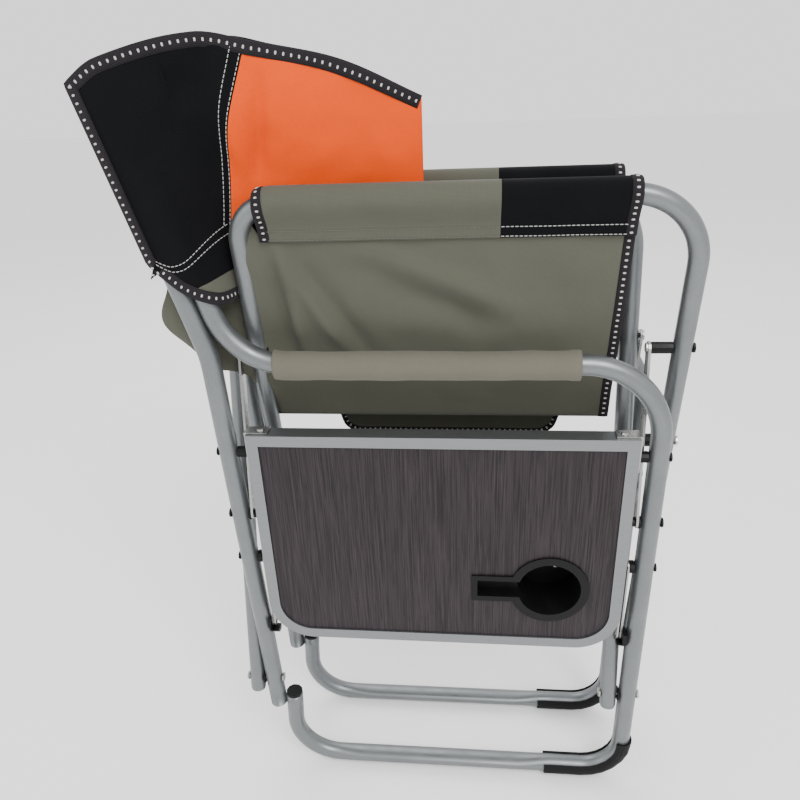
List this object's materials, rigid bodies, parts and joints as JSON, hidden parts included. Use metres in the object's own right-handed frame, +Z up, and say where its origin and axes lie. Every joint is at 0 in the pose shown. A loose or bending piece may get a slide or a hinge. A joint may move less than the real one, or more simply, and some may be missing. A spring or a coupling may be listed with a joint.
{
  "type": "folding camp chair",
  "caption": "Folding camp chair with tubular side frames, crossing seat frames, a sling seat and back, a hanging side table with a cup holder, stored folded.",
  "frame": {"origin": "on the floor, below the middle of the folded chair's box", "axes": "+Z up; the sitter faces -Y; the sitter's right, with the side table, is -X"},
  "size_m": [0.1412, 0.6012, 0.9],
  "materials": {
    "silver_tube": "satin powder coat",
    "table_aluminium": "brushed anodised",
    "bright_steel": "zinc plated",
    "black_rubber": "matte moulded",
    "black_plastic": "fine grain moulded",
    "table_laminate": "dark wood-look laminate",
    "olive_cloth": "coated polyester weave",
    "black_cloth": "coated polyester weave"
  },
  "bodies": {
    "right_side_frame": {"right_side_hoop": "silver_tube", "right_rear_leg": "silver_tube", "right_runner_boot": "black_rubber", "right_hoop_end_plug": "black_plastic", "right_arm_sleeve": "olive_cloth", "right_front_link_bolt": "black_plastic", "right_rear_link_bolt": "black_plastic", "right_back_sleeve": "black_cloth", "right_front_foot_bolt": "bright_steel", "right_rear_foot_bolt": "bright_steel", "right_front_foot_washer": "black_plastic", "right_rear_foot_washer": "black_plastic", "table_front_hinge_pin": "black_plastic", "table_rear_hinge_pin": "black_plastic", "table_front_stay_bolt": "black_plastic", "table_rear_stay_bolt": "black_plastic", "table_front_catch": "black_plastic", "table_rear_catch": "black_plastic"},
    "left_side_frame": {"left_side_hoop": "silver_tube", "left_rear_leg": "silver_tube", "left_runner_boot": "black_rubber", "left_hoop_end_plug": "black_plastic", "left_arm_sleeve": "olive_cloth", "left_front_link_bolt": "black_plastic", "left_rear_link_bolt": "black_plastic", "left_back_sleeve": "black_cloth", "left_front_foot_bolt": "bright_steel", "left_rear_foot_bolt": "bright_steel", "left_front_foot_washer": "black_plastic", "left_rear_foot_washer": "black_plastic", "left_side_pocket": "olive_cloth"},
    "left_seat_u": {"left_seat_frame": "silver_tube", "left_rail_sleeve": "olive_cloth", "left_front_link_rivet": "black_plastic", "left_rear_link_rivet": "black_plastic", "front_cross_bolt": "bright_steel", "rear_cross_bolt": "bright_steel", "front_cross_spacer": "black_plastic", "rear_cross_spacer": "black_plastic"},
    "right_seat_u": {"right_seat_frame": "silver_tube", "right_rail_sleeve": "olive_cloth", "right_front_link_rivet": "black_plastic", "right_rear_link_rivet": "black_plastic"},
    "right_links": {"right_front_link": "bright_steel", "right_rear_link": "bright_steel"},
    "left_links": {"left_front_link": "bright_steel", "left_rear_link": "bright_steel"},
    "right_seat_panel": {"right_seat_sling": "olive_cloth"},
    "left_seat_panel": {"left_seat_sling": "olive_cloth"},
    "right_back_panel": {"right_back_sling": "black_cloth"},
    "left_back_panel": {"left_back_sling": "black_cloth"},
    "side_table": {"table_rim": "table_aluminium", "table_board": "table_laminate", "cup_holder": "black_plastic", "table_front_bracket": "bright_steel", "table_rear_bracket": "bright_steel"},
    "table_stay_lower": {"table_front_stay_lower": "bright_steel", "table_rear_stay_lower": "bright_steel"},
    "table_stay_upper": {"table_front_stay_upper": "bright_steel", "table_rear_stay_upper": "bright_steel"}
  },
  "joints": [
    {"name": "fold", "type": "hinge", "parent": "right_side_frame", "child": "left_seat_u", "pos_m": [-0.05221, -0.03751, 0.15], "axis": [0, 1, 0], "range_deg": [0, 52]},
    {"name": "seat_cross", "type": "hinge", "parent": "left_seat_u", "child": "right_seat_u", "pos_m": [0.00145, -0.03751, 0.48878], "axis": [0, 1, 0], "range_deg": [-104, 0]},
    {"name": "left_frame_turn", "type": "hinge", "parent": "right_seat_u", "child": "left_side_frame", "pos_m": [0.05511, -0.03751, 0.15], "axis": [0, 1, 0], "range_deg": [0, 52]},
    {"name": "right_link_swing", "type": "hinge", "parent": "right_side_frame", "child": "right_links", "pos_m": [-0.05221, -0.03751, 0.41342], "axis": [0, 1, 0], "range_deg": [0, 91.1]},
    {"name": "left_link_swing", "type": "hinge", "parent": "left_side_frame", "child": "left_links", "pos_m": [0.05511, -0.03751, 0.41342], "axis": [0, 1, 0], "range_deg": [-91.1, 0]},
    {"name": "right_seat_swing", "type": "hinge", "parent": "right_seat_u", "child": "right_seat_panel", "pos_m": [-0.04306, -0.03751, 0.76977], "axis": [0, 1, 0], "range_deg": [-15.81, 0]},
    {"name": "left_seat_swing", "type": "hinge", "parent": "left_seat_u", "child": "left_seat_panel", "pos_m": [0.04596, -0.03751, 0.76977], "axis": [0, 1, 0], "range_deg": [0, 15.81]},
    {"name": "right_back_swing", "type": "hinge", "parent": "right_side_frame", "child": "right_back_panel", "pos_m": [-0.03821, 0.26649, 0.79], "axis": [0, 0, 1], "range_deg": [0, 82.03]},
    {"name": "left_back_swing", "type": "hinge", "parent": "left_side_frame", "child": "left_back_panel", "pos_m": [0.04111, 0.26649, 0.79], "axis": [0, 0, 1], "range_deg": [-82.03, 0]},
    {"name": "table_hinge", "type": "hinge", "parent": "right_side_frame", "child": "side_table", "pos_m": [-0.05221, -0.03751, 0.497], "axis": [0, 1, 0], "range_deg": [0, 90]},
    {"name": "lower_stay_swing", "type": "hinge", "parent": "right_side_frame", "child": "table_stay_lower", "pos_m": [-0.05221, -0.03751, 0.351], "axis": [0, 1, 0], "range_deg": [0, 135]},
    {"name": "upper_stay_swing", "type": "hinge", "parent": "side_table", "child": "table_stay_upper", "pos_m": [-0.05221, -0.03751, 0.351], "axis": [0, 1, 0], "range_deg": [-135, 0]}
  ],
  "couplings": [
    {"joint": "right_link_swing", "follows": "fold", "ratio": 1.7519},
    {"joint": "left_link_swing", "follows": "fold", "ratio": -1.7519},
    {"joint": "right_seat_swing", "follows": "fold", "ratio": -0.30406},
    {"joint": "left_seat_swing", "follows": "fold", "ratio": 0.30406},
    {"joint": "right_back_swing", "follows": "fold", "ratio": 1.5775},
    {"joint": "left_back_swing", "follows": "fold", "ratio": -1.5775},
    {"joint": "seat_cross", "follows": "fold", "ratio": -2},
    {"joint": "left_frame_turn", "follows": "fold", "ratio": 1},
    {"joint": "lower_stay_swing", "follows": "table_hinge", "ratio": 1.5},
    {"joint": "upper_stay_swing", "follows": "table_hinge", "ratio": -1.5}
  ]
}
